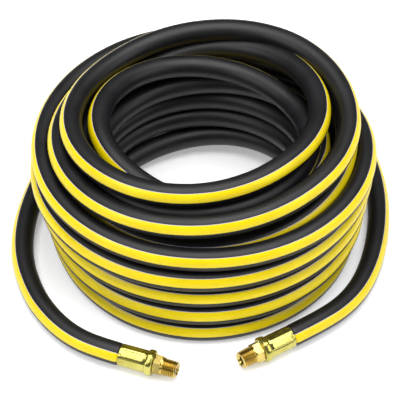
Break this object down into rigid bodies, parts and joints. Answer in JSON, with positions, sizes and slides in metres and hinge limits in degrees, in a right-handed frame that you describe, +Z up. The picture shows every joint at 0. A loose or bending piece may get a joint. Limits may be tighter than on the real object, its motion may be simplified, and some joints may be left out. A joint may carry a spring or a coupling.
{
  "type": "coiled rubber hose",
  "caption": "Coiled smooth black rubber hose with one yellow stripe and a crimped brass male pipe-thread fitting on each end.",
  "frame": {"origin": "on the floor, at the middle of the whole hose's footprint", "axes": "+Z up, along the coil's axis and away from the floor; -Y towards the two fittings; +X towards the right-hand tail"},
  "size_m": [0.3011, 0.3342, 0.122],
  "materials": {
    "hose_cover": "satin black extruded rubber with one yellow stripe",
    "hose_braid": "spiralled polyester yarn",
    "hose_liner": "smooth black rubber",
    "ferrule_brass": "bright pressed brass",
    "stem_brass": "machined brass"
  },
  "bodies": {
    "root": {"hose_coil": "hose_cover", "left_tail_cover": "hose_cover", "left_tail_braid": "hose_braid", "left_tail_liner": "hose_liner", "left_ferrule": "ferrule_brass", "left_stem": "stem_brass", "right_tail_cover": "hose_cover", "right_tail_braid": "hose_braid", "right_tail_liner": "hose_liner", "right_ferrule": "ferrule_brass", "right_stem": "stem_brass"}
  },
  "joints": []
}
